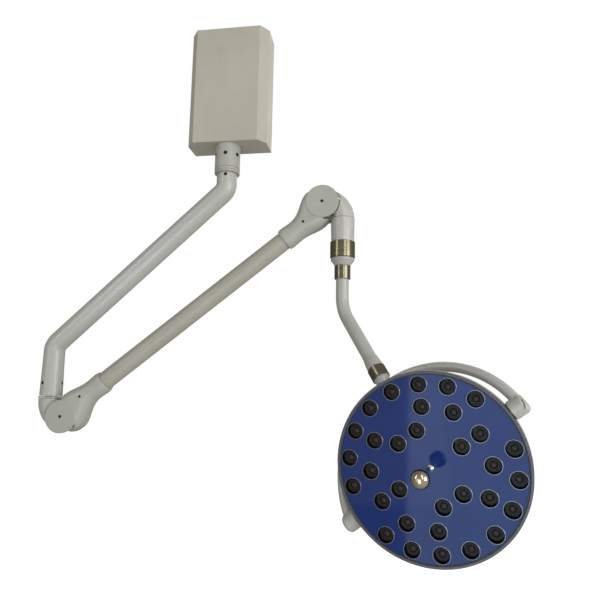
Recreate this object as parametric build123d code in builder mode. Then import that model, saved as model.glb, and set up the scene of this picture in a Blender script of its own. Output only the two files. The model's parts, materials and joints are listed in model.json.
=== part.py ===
from build123d import *
import os
from math import asin, atan2, cos, degrees, radians, sin, tan

# Wall mounted surgical light.  Millimetres, +Z up.  The wall is the plane Y = 0, the room is on the -Y side
# and the origin is the middle of the wall plate's bolt pattern.

# ---------------------------------------------------------------- wall box
box_width = 258.0
box_height = 388.0
box_depth = 107.0
chamfer_width = 24.0
chamfer_depth = 32.0
cover_sheet = 2.0
plate_width = 244.0
plate_height = 372.0
plate_thickness = 6.0
wall_bolt_spacing_x = 180.0
wall_bolt_spacing_z = 300.0
wall_bolt_hole_radius = 5.5
cable_hole_radius = 16.0
cable_bore_radius = 10.0
cable_hole_z = 60.0
box_bottom = -box_height / 2

# ---------------------------------------------------------------- crank arm
swivel_y = -61.5
collar_radius = 40.0
collar_drop = 77.0
crank_radius = 32.0
crank_wall = 3.5
crank_foot_radius = 34.3
crank_foot_length = 120.0
crank_reach = 546.0
crank_bend_radius = 42.0
slope_top_drop = 143.5
slope_bottom_drop = 641.5
crank_end_drop = 800.0
spindle_radius = 24.0
running_clearance = 0.05

# ---------------------------------------------------------------- spring arm
pin_drop = 861.0
knuckle_offset = 60.0
knuckle_radius = 35.0
elbow_rise = 46.0
pin_spacing = 1032.0
arm_elevation = 39.5
tube_shift = 13.0
arm_radius = 28.5
arm_wall = 3.0
barrel_radius = 46.0
barrel_half_width = 28.5
ear_inner = 29.0
ear_outer = 33.5
pin_radius = 9.0
disc_radius = 50.5
disc_half_width = 41.0
disc_bevel = 1.5
cover_half_width = 39.0
cover_wall = 3.0
pocket_radius = 54.3
neck_radius = 33.0
neck_length = 163.0
cover_pin_screw_radius = 5.0
cover_neck_screw_radius = 4.2

# ---------------------------------------------------------------- suspension tube
end_tube_top_drop = 251.5
ring_1_top_drop = 324.0
ring_1_end_drop = 373.5
cone_end_drop = 397.0
ring_2_end_drop = 438.0
bend_point_drop = 529.6
ring_1_radius = 37.5
cone_lip_radius = 35.5
ring_2_radius = 24.0
bent_tube_radius = 19.0
bent_tube_wall = 3.0
bent_tube_bend_radius = 105.0
lean_azimuth = -47.7
lean_angle = 40.4
head_distance = 539.7
socket_start = 197.0
socket_flare_end = 216.0
ring_3_start = 235.0
ring_3_end = 272.0
ring_3_radius = 24.8

# ---------------------------------------------------------------- yoke and lamp head
yoke_turn = 65.5
head_tilt = 25.0
yoke_radius = 250.5
yoke_centre_shift = 6.0
yoke_tube_radius = 12.5
block_inner = 227.6
block_outer = 265.0
stud_radius = 8.0
head_radius = 225.0
glass_radius = 218.4
glass_front = 25.5
glass_thickness = 5.0
cup_radius = 21.2
cup_hole_radius = 20.2
outer_ring_radius = 194.4
middle_ring_radius = 142.2
inner_ring_radius = 90.3
handle_ball_radius = 20.8

# ---------------------------------------------------------------- frames
LEFT = Vector(-1, 0, 0)
RIGHT = Vector(1, 0, 0)
FRONT = Vector(0, -1, 0)
UP = Vector(0, 0, 1)


def drop(distance):
    """Height of a level that lies this far below the underside of the wall box."""
    return box_bottom - distance


def turning_plane(origin, axis, radial):
    """Plane whose local x is the radius and whose local y runs along the turning axis."""
    return Plane(origin=origin, x_dir=radial, z_dir=Vector(radial).cross(Vector(axis)))


def local_point(plane, x, y, z=0.0):
    return plane.from_local_coords(Vector(x, y, z))


def rotated_in_plane(plane, angle, x=0.0, y=0.0):
    """The same plane with its origin moved to (x, y) and its x direction turned by angle."""
    direction = plane.x_dir * cos(radians(angle)) + plane.y_dir * sin(radians(angle))
    return Plane(origin=local_point(plane, x, y), x_dir=direction, z_dir=plane.z_dir)


swivel_axis = turning_plane((0, swivel_y, box_bottom), UP, RIGHT)
arm_swivel_axis = turning_plane((-crank_reach, swivel_y, box_bottom), UP, RIGHT)

lower_pin = Vector(-crank_reach + knuckle_offset, swivel_y, drop(pin_drop))
arm_direction = Vector(cos(radians(arm_elevation)), 0, sin(radians(arm_elevation)))
upper_pin = lower_pin + arm_direction * pin_spacing
tube_lean = degrees(asin(2 * tube_shift / pin_spacing))
# Each joint has a frame at its pin: local x points away from its knuckle's tube, local z to the room.
lower_joint = Plane(origin=lower_pin, x_dir=RIGHT, z_dir=FRONT)
upper_joint = Plane(origin=upper_pin, x_dir=LEFT, z_dir=FRONT)
lower_arm = rotated_in_plane(lower_joint, arm_elevation)
upper_arm = rotated_in_plane(upper_joint, arm_elevation)
lower_end = rotated_in_plane(lower_arm, -tube_lean, 0, tube_shift)
upper_end = rotated_in_plane(upper_arm, -tube_lean, 0, tube_shift)
tube_length = (upper_end.origin - lower_end.origin).length

drop_axis_x = upper_pin.X + knuckle_offset
drop_axis = turning_plane((drop_axis_x, swivel_y, box_bottom), UP, RIGHT)

lean = radians(lean_angle)
lean_out = Vector(cos(radians(lean_azimuth)), sin(radians(lean_azimuth)), 0)
hanger = lean_out * sin(lean) - UP * cos(lean)
bend_point = Vector(drop_axis_x, swivel_y, drop(bend_point_drop))
head_centre = bend_point + hanger * head_distance
level = hanger.cross(UP).normalized()
across = hanger.cross(level)
tilt_axis = level * cos(radians(yoke_turn)) + across * sin(radians(yoke_turn))
yoke_normal = tilt_axis.cross(hanger)
light_axis = yoke_normal * cos(radians(head_tilt)) + hanger * sin(radians(head_tilt))

hanger_axis = turning_plane(bend_point, hanger, hanger.cross(lean_out).cross(hanger).normalized())
yoke_centre = head_centre + hanger * yoke_centre_shift
yoke_plane = Plane(origin=yoke_centre, x_dir=tilt_axis, z_dir=yoke_normal)
head_plane = Plane(origin=head_centre, x_dir=tilt_axis, z_dir=light_axis)
head_axis = turning_plane(head_centre, light_axis, tilt_axis)


# ---------------------------------------------------------------- shared shapes
def turned(axis_plane, points, cross_holes=()):
    """Solid of revolution from (radius, distance along the axis) points, drilled on each plane given."""
    with BuildPart() as body:
        with BuildSketch(axis_plane):
            with BuildLine():
                Polyline(*points, close=True)
            make_face()
        revolve(axis=Axis(axis_plane.origin, axis_plane.y_dir))
        for plane in cross_holes:
            with BuildSketch(plane):
                Circle(crank_screw_radius)
            extrude(amount=-crank_screw_length, mode=Mode.SUBTRACT)
    return body


def ring_points(inner, outer, start, end, chamfer_size=0.0):
    if chamfer_size == 0.0:
        return [(inner, start), (outer, start), (outer, end), (inner, end)]
    shoulder = outer - chamfer_size
    return [
        (inner, start),
        (shoulder, start),
        (outer, start + chamfer_size),
        (outer, end - chamfer_size),
        (shoulder, end),
        (inner, end),
    ]


def bush_set(axis_plane, inner, outer, spans):
    """Plain bushes on one axis, one for each (start, end)."""
    with BuildPart() as bushes:
        for start, end in spans:
            with BuildSketch(axis_plane):
                with BuildLine():
                    Polyline(*ring_points(inner, outer, start, end), close=True)
                make_face()
            revolve(axis=Axis(axis_plane.origin, axis_plane.y_dir))
    return bushes


def screw_set(places, length, socket_depth):
    """One socket screw for each (plane, radius), pointing into the material along the plane's local -z."""
    with BuildPart() as screws:
        for plane, radius in places:
            with BuildSketch(plane):
                Circle(radius)
            extrude(amount=-length)
            with BuildSketch(plane):
                RegularPolygon(socket_share * radius, 6)
            extrude(amount=-socket_depth, mode=Mode.SUBTRACT)
    return screws


def around(axis_plane, radius, height, angles):
    """Planes on a cylinder's side that face outwards, at angles measured from the axis plane's x."""
    side = axis_plane.x_dir
    other = axis_plane.y_dir.cross(side)
    planes = []
    for angle in angles:
        out = side * cos(radians(angle)) + other * sin(radians(angle))
        origin = axis_plane.origin + axis_plane.y_dir * height + out * radius
        planes.append(Plane(origin=origin, x_dir=axis_plane.y_dir, z_dir=out))
    return planes


socket_share = 0.58
crank_screw_radius = 5.5
crank_screw_length = 10.0
finished = []


def finish_part(builder, label):
    builder.part.label = label
    finished.append(builder)


# ================================================================ wall unit
box_outline = [
    (-box_width / 2, -0.2),
    (-box_width / 2, -(box_depth - chamfer_depth)),
    (-box_width / 2 + chamfer_width, -box_depth),
    (box_width / 2 - chamfer_width, -box_depth),
    (box_width / 2, -(box_depth - chamfer_depth)),
    (box_width / 2, -0.2),
]
plate_bottom = Plane.XY.offset(box_bottom)
screw_radius = 2.4
tab_size = 24.0
tab_thickness = 3.0
tab_gap = cover_sheet + 0.3
top_screws = [Plane(origin=(x, -22, -box_bottom), x_dir=RIGHT, z_dir=UP) for x in (-90, 90)]
side_screws = [Plane(origin=(-box_width / 2, -22, z), x_dir=UP, z_dir=LEFT) for z in (-150, 150)]
cover_screw_planes = top_screws + side_screws

with BuildPart() as wall_plate:
    with BuildSketch(Plane.XZ):
        Rectangle(plate_width, plate_height)
        with GridLocations(wall_bolt_spacing_x, wall_bolt_spacing_z, 2, 2):
            Circle(wall_bolt_hole_radius, mode=Mode.SUBTRACT)
        with Locations((0, cable_hole_z)):
            Circle(cable_hole_radius, mode=Mode.SUBTRACT)
    extrude(amount=plate_thickness)
    # Bent tabs that take the cover's screws.
    with BuildSketch(Plane.XZ.offset(plate_thickness)):
        with Locations((-90, -box_bottom - tab_gap - 6), (90, -box_bottom - tab_gap - 6)):
            Rectangle(tab_size, 12)
        with Locations((-box_width / 2 + tab_gap + 6, -150), (-box_width / 2 + tab_gap + 6, 150)):
            Rectangle(12, tab_size)
    extrude(amount=tab_thickness)
    for plane in cover_screw_planes:
        with BuildSketch(plane.offset(-tab_gap)):
            with Locations((0, 1.5)):
                Rectangle(tab_size, tab_size + 3)
            Circle(screw_radius + 0.05, mode=Mode.SUBTRACT)
        extrude(amount=-tab_thickness)
finish_part(wall_plate, "wall_plate")

with BuildPart() as housing_cover:
    with BuildSketch(plate_bottom):
        with BuildLine():
            Polyline(*box_outline, close=True)
        make_face()
    extrude(amount=box_height)
    upright = housing_cover.edges().filter_by(Axis.Z).filter_by_position(Axis.Y, -box_depth - 1, -60)
    fillet(upright, radius=3)
    front_face = housing_cover.faces().sort_by(Axis.Y)[-1]
    offset(amount=-cover_sheet, openings=front_face)
    with BuildSketch(plate_bottom.offset(-1)):
        with Locations((0, swivel_y)):
            Circle(collar_radius + 0.5)
    extrude(amount=cover_sheet + 2, mode=Mode.SUBTRACT)
    for plane in cover_screw_planes:
        with BuildSketch(plane.offset(1)):
            Circle(screw_radius + 0.1)
        extrude(amount=-cover_sheet - 2, mode=Mode.SUBTRACT)
finish_part(housing_cover, "housing_cover")

with BuildPart() as cover_screws:
    for plane in cover_screw_planes:
        with BuildSketch(plane):
            Circle(2 * screw_radius)
        extrude(amount=2.2)
        with BuildSketch(plane):
            Circle(screw_radius)
        extrude(amount=-10)
        with BuildSketch(plane.offset(2.2)):
            RegularPolygon(2.3, 6)
        extrude(amount=-1.5, mode=Mode.SUBTRACT)
finish_part(cover_screws, "cover_screws")

bracket_floor = box_bottom + cover_sheet + 0.6
bracket_thickness = 12.0
bracket_width = 150.0
bracket_height = 150.0
bracket_front = -104.0
bracket_back = -plate_thickness
bracket_bolts_at = [(x, bracket_floor + z) for x in (-55, 55) for z in (60, 120)]

with BuildPart() as pivot_bracket:
    with BuildSketch(Plane.XZ.offset(plate_thickness)):
        with Locations((0, bracket_floor + bracket_height / 2)):
            Rectangle(bracket_width, bracket_height)
        with Locations(*bracket_bolts_at):
            Circle(4.3, mode=Mode.SUBTRACT)
    extrude(amount=8)
    with BuildSketch(Plane.XY.offset(bracket_floor)):
        with Locations((0, (bracket_front + bracket_back - 8) / 2)):
            Rectangle(bracket_width, bracket_back - 8 - bracket_front)
        with Locations((0, swivel_y)):
            Circle(collar_radius + 0.1, mode=Mode.SUBTRACT)
    extrude(amount=bracket_thickness)
    for side in (-1, 1):
        rib = Plane.YZ.offset(side * (bracket_width / 2 - 4) - 4)
        top = bracket_floor + bracket_thickness
        with BuildSketch(rib):
            with BuildLine():
                Polyline((-14, top), (bracket_front + 6, top), (-14, top + 95), close=True)
            make_face()
        extrude(amount=8)
finish_part(pivot_bracket, "pivot_bracket")

with BuildPart() as bracket_bolts:
    for x, z in bracket_bolts_at:
        plane = Plane(origin=(x, -plate_thickness - 8, z), x_dir=RIGHT, z_dir=FRONT)
        with BuildSketch(plane):
            RegularPolygon(8, 6)
        extrude(amount=6)
        with BuildSketch(plane):
            Circle(4.2)
        extrude(amount=-8)
finish_part(bracket_bolts, "bracket_bolts")

# The collar hangs through the bracket's floor on its flange.
flange_bottom = bracket_floor + bracket_thickness - box_bottom
flange_top = flange_bottom + 12
flange_width = 124.0
flange_depth = 82.0
flange_bolt_x = 98.0
flange_bolt_y = 56.0
bush_outer = spindle_radius + 4
brake_screw_radius = 6.3
brake_level = -35.0
brake_angles = [-85 + 60 * k for k in range(6)]

with BuildPart() as pivot_collar:
    with BuildSketch(Plane.XY.offset(box_bottom - collar_drop)):
        with Locations((0, swivel_y)):
            Circle(collar_radius)
    extrude(amount=collar_drop + flange_bottom)
    chamfer(pivot_collar.edges().filter_by(GeomType.CIRCLE).sort_by(Axis.Z)[0], length=1)
    with BuildSketch(Plane.XY.offset(box_bottom + flange_bottom)):
        with Locations((0, swivel_y)):
            RectangleRounded(flange_width, flange_depth, 6)
            with GridLocations(flange_bolt_x, flange_bolt_y, 2, 2):
                Circle(4.1, mode=Mode.SUBTRACT)
    extrude(amount=flange_top - flange_bottom)
    with BuildSketch(Plane.XY.offset(box_bottom - collar_drop)):
        with Locations((0, swivel_y)):
            Circle(bush_outer)
    extrude(amount=collar_drop + flange_top, mode=Mode.SUBTRACT)
    for plane in around(swivel_axis, collar_radius, brake_level, brake_angles):
        with BuildSketch(plane.offset(1)):
            Circle(brake_screw_radius)
        extrude(amount=-(collar_radius - bush_outer) - 2, mode=Mode.SUBTRACT)
finish_part(pivot_collar, "pivot_collar")

with BuildPart() as flange_bolts:
    with BuildSketch(Plane.XY.offset(box_bottom + flange_top)):
        with Locations((0, swivel_y)):
            with GridLocations(flange_bolt_x, flange_bolt_y, 2, 2):
                RegularPolygon(7, 6)
    extrude(amount=5)
    with BuildSketch(Plane.XY.offset(box_bottom + flange_bottom)):
        with Locations((0, swivel_y)):
            with GridLocations(flange_bolt_x, flange_bolt_y, 2, 2):
                Circle(4)
    extrude(amount=flange_top - flange_bottom)
finish_part(flange_bolts, "flange_bolts")

brake_planes = around(swivel_axis, collar_radius - 1.5, brake_level, brake_angles)
brake_screws = screw_set([(plane, brake_screw_radius - 0.1) for plane in brake_planes], 9.5, 4)
finish_part(brake_screws, "brake_screws")

collar_bushes = bush_set(
    swivel_axis, spindle_radius + running_clearance, bush_outer, [(-collar_drop + 2, -45), (-24, flange_top)]
)
finish_part(collar_bushes, "collar_bushes")

with BuildPart() as power_supply:
    with BuildSketch(Plane.XZ.offset(plate_thickness + 0.3)):
        with Locations((0, 134)):
            RectangleRounded(130, 90, 4)
    extrude(amount=48)
    with BuildSketch(Plane.XZ.offset(plate_thickness + 48.3)):
        with Locations((0, 134)):
            with GridLocations(10, 0, 11, 1):
                Rectangle(4, 70)
    extrude(amount=-2, mode=Mode.SUBTRACT)
finish_part(power_supply, "power_supply")

grommet_axis = turning_plane((0, 0, cable_hole_z), FRONT, RIGHT)
cable_grommet = turned(
    grommet_axis,
    [
        (cable_bore_radius, 0.4),
        (cable_hole_radius - 0.2, 0.4),
        (cable_hole_radius - 0.2, plate_thickness),
        (cable_hole_radius + 4, plate_thickness),
        (cable_hole_radius + 3, plate_thickness + 4),
        (cable_bore_radius, plate_thickness + 4),
    ],
)
finish_part(cable_grommet, "cable_grommet")

# ================================================================ crank arm
slope_angle = degrees(atan2(slope_bottom_drop - slope_top_drop, crank_reach))
crank_top_drop = collar_drop + 17.5
crank_corners = [
    (0, swivel_y, drop(crank_top_drop)),
    (0, swivel_y, drop(slope_top_drop)),
    (-crank_reach, swivel_y, drop(slope_bottom_drop)),
    (-crank_reach, swivel_y, drop(crank_end_drop)),
]
crank_start = Plane(origin=crank_corners[0], x_dir=RIGHT, z_dir=UP)
# The upper bend is as large as the short upright run above it allows.
room_above_bend = 0.95 * (slope_top_drop - crank_top_drop)
crank_top_bend = min(crank_bend_radius, room_above_bend / tan(radians(90 - slope_angle) / 2))

top_screw_planes = around(swivel_axis, crank_radius, -crank_top_drop - 8, [-83, 97])
end_screw_planes = around(arm_swivel_axis, crank_foot_radius - 0.7, -crank_end_drop + 40, [-113, 7, 127])

with BuildPart() as crank_tube:
    with BuildLine() as crank_path:
        FilletPolyline(*crank_corners, radius=[crank_top_bend, crank_bend_radius])
    with BuildSketch(crank_start):
        Circle(crank_radius)
        Circle(crank_radius - crank_wall, mode=Mode.SUBTRACT)
    sweep(path=crank_path.wires()[0])
    # The foot widens a little towards the arm's swivel.
    with BuildSketch(arm_swivel_axis):
        with BuildLine():
            Polyline(
                (crank_radius - 1, -crank_end_drop),
                (crank_foot_radius, -crank_end_drop),
                (crank_radius, -crank_end_drop + crank_foot_length),
                (crank_radius - 1, -crank_end_drop + crank_foot_length),
                close=True,
            )
        make_face()
    revolve(axis=Axis(arm_swivel_axis.origin, UP))
    for plane in top_screw_planes + end_screw_planes:
        with BuildSketch(plane.offset(1)):
            Circle(crank_screw_radius)
        extrude(amount=-crank_wall - 4, mode=Mode.SUBTRACT)
finish_part(crank_tube, "crank_tube")

spindle_top = flange_top + 16
plug_radius = crank_radius - crank_wall - 0.05
crank_spindle = turned(
    swivel_axis,
    [
        (12, -crank_top_drop - 16),
        (plug_radius, -crank_top_drop - 16),
        (plug_radius, -crank_top_drop),
        (spindle_radius, -crank_top_drop),
        (spindle_radius, flange_top + 2.3),
        (spindle_radius - 3, flange_top + 2.3),
        (spindle_radius - 3, flange_top + 10.3),
        (spindle_radius, flange_top + 10.3),
        (spindle_radius, spindle_top),
        (12, spindle_top),
    ],
    top_screw_planes,
)
finish_part(crank_spindle, "crank_spindle")

spindle_retainer = turned(
    swivel_axis, ring_points(spindle_radius - 2.9, spindle_radius + 9, flange_top + 2.5, flange_top + 10.1, 1)
)
finish_part(spindle_retainer, "spindle_retainer")

# Trim ring under the collar, with the groove that parts it in two bands.
trim_bottom = -crank_top_drop + 0.5
trim_ring = turned(
    swivel_axis,
    [
        (spindle_radius + 0.3, trim_bottom),
        (collar_radius - 1, trim_bottom),
        (collar_radius, trim_bottom + 1),
        (collar_radius, trim_bottom + 6),
        (collar_radius - 1.5, trim_bottom + 6.5),
        (collar_radius - 1.5, trim_bottom + 7.5),
        (collar_radius, trim_bottom + 8),
        (collar_radius, -collar_drop - 1.6),
        (collar_radius - 1, -collar_drop - 0.6),
        (spindle_radius + 0.3, -collar_drop - 0.6),
    ],
)
finish_part(trim_ring, "trim_ring")

crank_screw_planes = [plane.offset(-0.8) for plane in top_screw_planes + end_screw_planes]
crank_screws = screw_set([(plane, crank_screw_radius - 0.1) for plane in crank_screw_planes], 8, 3)
finish_part(crank_screws, "crank_screws")

# Bearing housing inside the crank tube's lower end.
base_spigot_radius = 18.0
base_bush_outer = base_spigot_radius + 3.5
bearing_housing = turned(
    arm_swivel_axis,
    ring_points(base_bush_outer, plug_radius, -crank_end_drop + 0.5, -crank_end_drop + 90),
    end_screw_planes,
)
finish_part(bearing_housing, "bearing_housing")

base_bushes = bush_set(
    arm_swivel_axis,
    base_spigot_radius + running_clearance,
    base_bush_outer,
    [(-crank_end_drop + 0.5, -crank_end_drop + 28), (-crank_end_drop + 62, -crank_end_drop + 90)],
)
finish_part(base_bushes, "base_bushes")

end_ring = turned(
    arm_swivel_axis,
    ring_points(
        base_spigot_radius + 0.3, knuckle_radius + 2.2, -crank_end_drop - 6, -crank_end_drop - 1.8, 0.8
    ),
)
finish_part(end_ring, "end_ring")


# ================================================================ knuckles and joint covers
def knuckle_part(joint, inner_bore, rise, spigot):
    """Elbow from a vertical tube to the hinge barrel.  Local x points away from the tube and y along it."""
    elbow_centre = local_point(joint, 0, elbow_rise)
    tube_end = Plane(
        origin=local_point(joint, -knuckle_offset, elbow_rise), x_dir=joint.z_dir, z_dir=joint.y_dir * -1
    )
    with BuildPart() as knuckle:
        with BuildSketch(tube_end):
            Circle(knuckle_radius)
        revolve(axis=Axis(elbow_centre, joint.z_dir), revolution_arc=90)
        with BuildSketch(joint):
            Circle(pocket_radius)
        extrude(amount=80, both=True, mode=Mode.SUBTRACT)
        with BuildSketch(joint):
            Circle(barrel_radius)
            with BuildLine():
                Polyline((-30, -25), (-60, 0), (-60, 30), (-35, 38), close=True)
            make_face()
        extrude(amount=barrel_half_width, both=True)
        with BuildSketch(joint):
            Circle(pin_radius + 3)
        extrude(amount=80, both=True, mode=Mode.SUBTRACT)
        if rise > 0:
            with BuildSketch(tube_end):
                Circle(knuckle_radius)
            extrude(amount=-rise)
        if spigot > 0:
            with BuildSketch(tube_end):
                Circle(base_spigot_radius)
            extrude(amount=-spigot)
        with BuildSketch(tube_end.offset(-spigot - 1)):
            Circle(inner_bore)
        extrude(amount=spigot + 14, mode=Mode.SUBTRACT)
    return knuckle


def pin_bushes(joint):
    with BuildPart() as bushes:
        for side in (-1, 1):
            with BuildSketch(joint.offset(side * (barrel_half_width + 0.2))):
                Circle(pin_radius + 3)
                Circle(pin_radius + running_clearance, mode=Mode.SUBTRACT)
            extrude(amount=-side * 18)
    return bushes


def pin_point(end, joint):
    """The hinge pin's centre in the tube frame."""
    point = end.to_local_coords(joint.origin)
    return (point.X, point.Y)


def clevis_part(end, joint, length):
    """Fork in the tube frame: two ears beside the barrel, a block behind it and a plug in the tube."""
    block_start = 58.0
    block_end = 76.0
    plug_start = 100.0
    cross = Plane(origin=local_point(end, block_start, 0), x_dir=end.z_dir, z_dir=end.x_dir)
    x, y = pin_point(end, joint)
    with BuildPart() as clevis:
        with BuildSketch(cross):
            RectangleRounded(2 * ear_outer, 28, 5)
        extrude(amount=block_end - block_start)
        with BuildSketch(cross.offset(block_end - block_start)):
            Circle(27)
        extrude(amount=plug_start - block_end)
        with BuildSketch(cross.offset(plug_start - block_start)):
            Circle(arm_radius - arm_wall - 0.05)
        extrude(amount=length)
        for side in (-1, 1):
            with BuildSketch(end.offset(side * ear_inner)):
                with Locations((x, y)):
                    Circle(25)
                with BuildLine():
                    Polyline((x + 2, y - 24.9), (block_start, -14), (block_start, 14), (x + 6, y + 24.2))
                    Line((x + 6, y + 24.2), (x + 2, y - 24.9))
                make_face()
            extrude(amount=side * (ear_outer - ear_inner))
        with BuildSketch(end):
            with Locations((x, y)):
                Circle(pin_radius)
        extrude(amount=80, both=True, mode=Mode.SUBTRACT)
        with BuildSketch(cross):
            Circle(9)
        extrude(amount=length + 60, mode=Mode.SUBTRACT)
    return clevis


def cover_sections(end, inset):
    """Cross sections of the joint cover: (distance, half width, top, bottom, corner radius)."""
    sections = [
        (-4 + 2 * inset, cover_half_width - 2.5, 34, -59, 22),
        (22, cover_half_width, 39, -70, 24),
        (62, cover_half_width - 0.5, 40, -51.5, 29),
        (96, neck_radius + 2, 34, -35, 32),
        (neck_length - 32, neck_radius, neck_radius, -neck_radius, 31),
        (neck_length, neck_radius - 1, neck_radius - 1, -neck_radius + 1, 30.5),
    ]
    faces = []
    for distance, half_width, top, bottom, corner in sections:
        width = 2 * (half_width - inset)
        height = top - bottom - 2 * inset
        radius = min(corner, width / 2 - 0.5, height / 2 - 0.5)
        cross = Plane(
            origin=local_point(end, distance, (top + bottom) / 2), x_dir=end.z_dir, z_dir=end.x_dir
        )
        with BuildSketch(cross) as face:
            RectangleRounded(width, height, radius)
        faces.append(face.sketch)
    return faces


def joint_cover(end, joint, side, screw_at):
    """Half shell of a joint cover, on the room side (side = 1) or the wall side (side = -1)."""
    pin_at = pin_point(end, joint)
    with BuildPart() as cover:
        loft(cover_sections(end, 0))
        straight = disc_half_width - disc_bevel
        with BuildSketch(end):
            with Locations(pin_at):
                Circle(disc_radius)
        extrude(amount=straight, both=True)
        for face_side in (-1, 1):
            with BuildSketch(end.offset(face_side * straight)):
                with Locations(pin_at):
                    Circle(disc_radius)
            extrude(amount=face_side * disc_bevel, taper=45)
        loft(cover_sections(end, cover_wall), mode=Mode.SUBTRACT)
        with BuildSketch(end):
            with Locations(pin_at):
                Circle(pocket_radius - 0.5)
        extrude(amount=ear_outer + 0.4, both=True, mode=Mode.SUBTRACT)
        with BuildSketch(end):
            with Locations(pin_at):
                Circle(cover_pin_screw_radius)
            with Locations(screw_at):
                Circle(cover_neck_screw_radius)
        extrude(amount=80, both=True, mode=Mode.SUBTRACT)
        tube_plane = Plane(origin=local_point(end, neck_length - 20, 0), x_dir=end.z_dir, z_dir=end.x_dir)
        with BuildSketch(tube_plane):
            Circle(arm_radius + 0.05)
        extrude(amount=40, mode=Mode.SUBTRACT)
        with BuildSketch(end.offset(side * 0.1)):
            Rectangle(500, 400)
        extrude(amount=-side * 100, mode=Mode.SUBTRACT)
    return cover


def cover_screw_places(end, joint, screw_at):
    places = []
    for (x, y), depth, radius in (
        (pin_point(end, joint), disc_half_width - 1.2, cover_pin_screw_radius - 0.2),
        (screw_at, cover_half_width - 3, cover_neck_screw_radius - 0.2),
    ):
        for side in (-1, 1):
            origin = local_point(end.offset(side * depth), x, y)
            places.append((Plane(origin=origin, x_dir=end.x_dir, z_dir=end.z_dir * side), radius))
    return places


flare_screw = (83, 0)
base_spigot_length = pin_drop - elbow_rise - crank_end_drop + 95
cover_screw_spots = []
for prefix, joint, end, bore, rise, spigot in (
    ("lower", lower_joint, lower_end, 8.0, pin_drop - elbow_rise - crank_end_drop - 7.4, base_spigot_length),
    ("upper", upper_joint, upper_end, 22.0, 0, 0),
):
    finish_part(knuckle_part(joint, bore, rise, spigot), prefix + "_knuckle")
    finish_part(pin_bushes(joint), prefix + "_pin_bushes")
    finish_part(clevis_part(end, joint, 60), prefix + "_clevis")
    finish_part(joint_cover(end, joint, 1, flare_screw), prefix + "_cover_front")
    finish_part(joint_cover(end, joint, -1, flare_screw), prefix + "_cover_rear")
    cover_screw_spots += cover_screw_places(end, joint, flare_screw)
finish_part(screw_set(cover_screw_spots, 5, 2.5), "arm_cover_screws")

with BuildPart() as hinge_pins:
    for joint in (lower_joint, upper_joint):
        with BuildSketch(joint):
            Circle(pin_radius)
        extrude(amount=ear_outer, both=True)
finish_part(hinge_pins, "hinge_pins")

base_clip = turned(
    arm_swivel_axis,
    ring_points(
        base_spigot_radius, base_spigot_radius + 6, -crank_end_drop + 90.8, -crank_end_drop + 93, 0.3
    ),
)
finish_part(base_clip, "base_clip")

# ================================================================ spring arm tube
tube_start = 102.0
arm_axis = turning_plane(lower_end.origin, lower_end.x_dir, lower_end.y_dir)
arm_tube = turned(
    arm_axis, ring_points(arm_radius - arm_wall, arm_radius, tube_start, tube_length - tube_start, 0.8)
)
finish_part(arm_tube, "arm_tube")

rod_radius = 5.0
rod_start = 104.0
spring_start = 188.0
spring_length = 300.0
spring_turns = 20
spring_radius = 17.0
spring_wire_radius = 2.6
seat_radius = 22.0
spring_end = spring_start + spring_length
spring_rod = turned(
    arm_axis,
    [
        (0, rod_start),
        (rod_radius, rod_start),
        (rod_radius, spring_start - 12),
        (seat_radius, spring_start - 12),
        (seat_radius, spring_start - 4),
        (rod_radius, spring_start - 4),
        (rod_radius, spring_end + 4),
        (seat_radius, spring_end + 4),
        (seat_radius, spring_end + 14),
        (rod_radius, spring_end + 14),
        (rod_radius, tube_length - 300),
        (0, tube_length - 300),
    ],
)
finish_part(spring_rod, "spring_rod")

with BuildPart() as balance_spring:
    with BuildLine() as coil:
        Helix(
            pitch=spring_length / spring_turns,
            height=spring_length,
            radius=spring_radius,
            center=local_point(lower_end, spring_start, 0),
            direction=lower_end.x_dir,
        )
    with BuildSketch(Plane(origin=coil.line @ 0, z_dir=coil.line % 0)):
        Circle(spring_wire_radius)
    sweep(path=coil.line, is_frenet=True)
finish_part(balance_spring, "balance_spring")

# ================================================================ upper knuckle's end tube
drop_spindle_radius = 16.0
drop_bush_outer = drop_spindle_radius + 4
sleeve_seat_radius = 32.5
end_tube = turned(
    drop_axis,
    [
        (drop_bush_outer, -ring_1_end_drop + 0.5),
        (sleeve_seat_radius, -ring_1_end_drop + 0.5),
        (sleeve_seat_radius, -ring_1_top_drop),
        (knuckle_radius - 0.4, -ring_1_top_drop),
        (knuckle_radius + 1.2, -end_tube_top_drop - 2),
        (knuckle_radius, -end_tube_top_drop),
        (21.9, -end_tube_top_drop),
        (21.9, -end_tube_top_drop + 10),
        (15, -end_tube_top_drop + 10),
        (15, -end_tube_top_drop - 10),
        (26, -end_tube_top_drop - 14),
        (26, -ring_1_top_drop + 22),
        (drop_bush_outer, -ring_1_top_drop + 22),
    ],
)
finish_part(end_tube, "end_tube")

locking_sleeve = turned(
    drop_axis,
    ring_points(sleeve_seat_radius + 0.1, ring_1_radius, -ring_1_end_drop, -ring_1_top_drop - 0.3, 0.8),
)
finish_part(locking_sleeve, "locking_sleeve")

end_tube_bushes = bush_set(
    drop_axis,
    drop_spindle_radius + running_clearance,
    drop_bush_outer,
    [(-ring_1_end_drop + 1, -ring_1_end_drop + 25), (-ring_1_top_drop - 2, -ring_1_top_drop + 22)],
)
finish_part(end_tube_bushes, "end_tube_bushes")

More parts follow.
